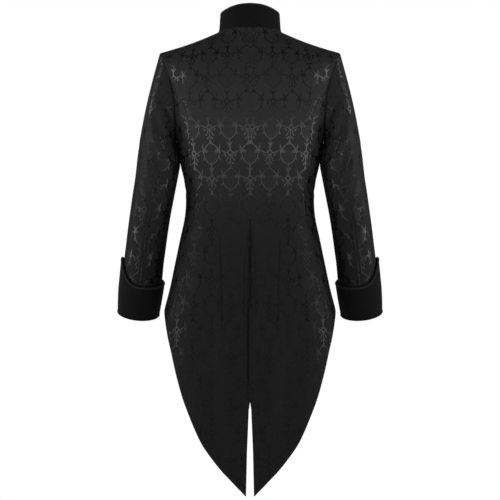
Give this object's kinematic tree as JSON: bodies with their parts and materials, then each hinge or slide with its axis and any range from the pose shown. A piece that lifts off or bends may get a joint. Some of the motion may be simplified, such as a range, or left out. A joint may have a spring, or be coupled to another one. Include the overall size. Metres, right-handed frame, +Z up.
{
  "type": "regency tailcoat jacket",
  "caption": "Damask tailcoat, filled out as worn, with a stand collar, two-piece sleeves, turned-back cuffs, a centre-back vent and a cutaway hem falling to pointed tails.",
  "frame": {"origin": "the nape, at the middle of the collar seam, where the wearer's neck and shoulders hold the coat", "axes": "+Z up, +Y to the coat's back, +X to the wearer's left"},
  "size_m": [0.6726, 0.2698, 1.2014],
  "materials": {
    "damask_back_left": "satin figure on a matt ground",
    "damask_side_left": "satin figure on a matt ground",
    "damask_front_left": "satin figure on a matt ground",
    "damask_top_left": "satin figure on a matt ground",
    "damask_under_left": "satin figure on a matt ground",
    "velvet_cuff_left": "velvet pile",
    "damask_back_right": "satin figure on a matt ground",
    "damask_side_right": "satin figure on a matt ground",
    "damask_front_right": "satin figure on a matt ground",
    "damask_top_right": "satin figure on a matt ground",
    "damask_under_right": "satin figure on a matt ground",
    "velvet_cuff_right": "velvet pile",
    "velvet_collar": "velvet pile",
    "button_1": "satin black",
    "button_2": "satin black",
    "button_3": "satin black",
    "button_4": "satin black",
    "button_5": "satin black",
    "button_6": "satin black"
  },
  "bodies": {
    "root": {"back_left": "damask_back_left", "side_left": "damask_side_left", "front_left": "damask_front_left", "sleeve_top_left": "damask_top_left", "sleeve_under_left": "damask_under_left", "cuff_left": "velvet_cuff_left", "back_right": "damask_back_right", "side_right": "damask_side_right", "front_right": "damask_front_right", "sleeve_top_right": "damask_top_right", "sleeve_under_right": "damask_under_right", "cuff_right": "velvet_cuff_right", "collar": "velvet_collar", "button_1": "button_1", "button_2": "button_2", "button_3": "button_3", "button_4": "button_4", "button_5": "button_5", "button_6": "button_6"}
  },
  "joints": []
}
